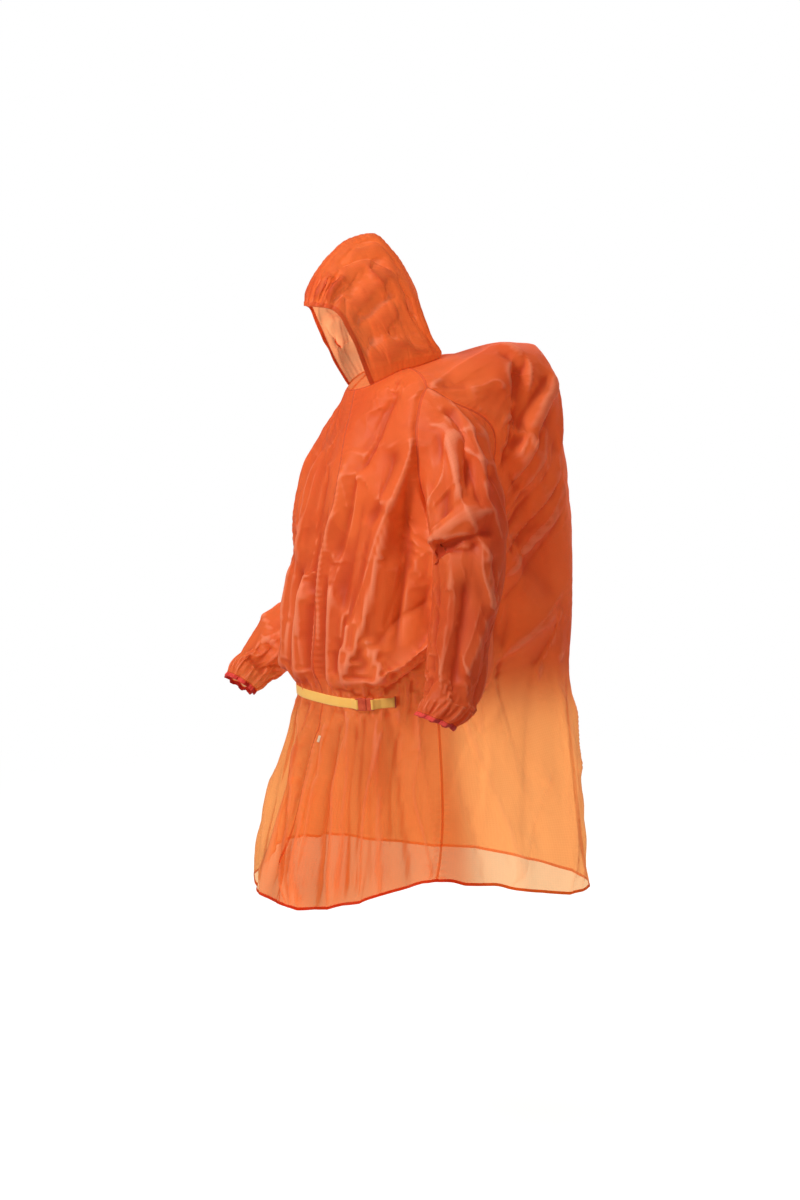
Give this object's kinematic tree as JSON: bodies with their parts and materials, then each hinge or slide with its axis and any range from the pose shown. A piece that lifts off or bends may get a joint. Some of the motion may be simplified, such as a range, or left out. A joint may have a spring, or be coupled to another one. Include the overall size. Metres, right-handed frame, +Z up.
{
  "type": "hooded rain poncho",
  "caption": "Hooded rain poncho with sleeves, belted at the front and cut wide at the back to go over a backpack, hollow and open, in the pose in which it is worn",
  "frame": {"origin": "between the wearer's shoulders at the base of the neck, inside the neck opening, where the coat is held when worn", "axes": "+Z up, -Y the way the wearer faces, +X to the wearer's left"},
  "size_m": [0.7038, 0.7347, 1.3596],
  "materials": {
    "coated_nylon": "thin coated nylon, half clear, soft sheen",
    "elastic_binding": "matt elastic binding",
    "webbing": "flat woven webbing",
    "buckle_plastic": "moulded, satin",
    "tab_webbing": "small woven tab"
  },
  "bodies": {
    "root": {"front_left": "coated_nylon", "front_right": "coated_nylon", "back": "coated_nylon", "sleeve_left": "coated_nylon", "sleeve_right": "coated_nylon", "hood_left": "coated_nylon", "hood_right": "coated_nylon", "cuff_left": "elastic_binding", "cuff_right": "elastic_binding", "belt_left": "webbing", "belt_right": "webbing", "buckle_female": "buckle_plastic", "buckle_male": "buckle_plastic", "tab_front": "tab_webbing"}
  },
  "joints": []
}
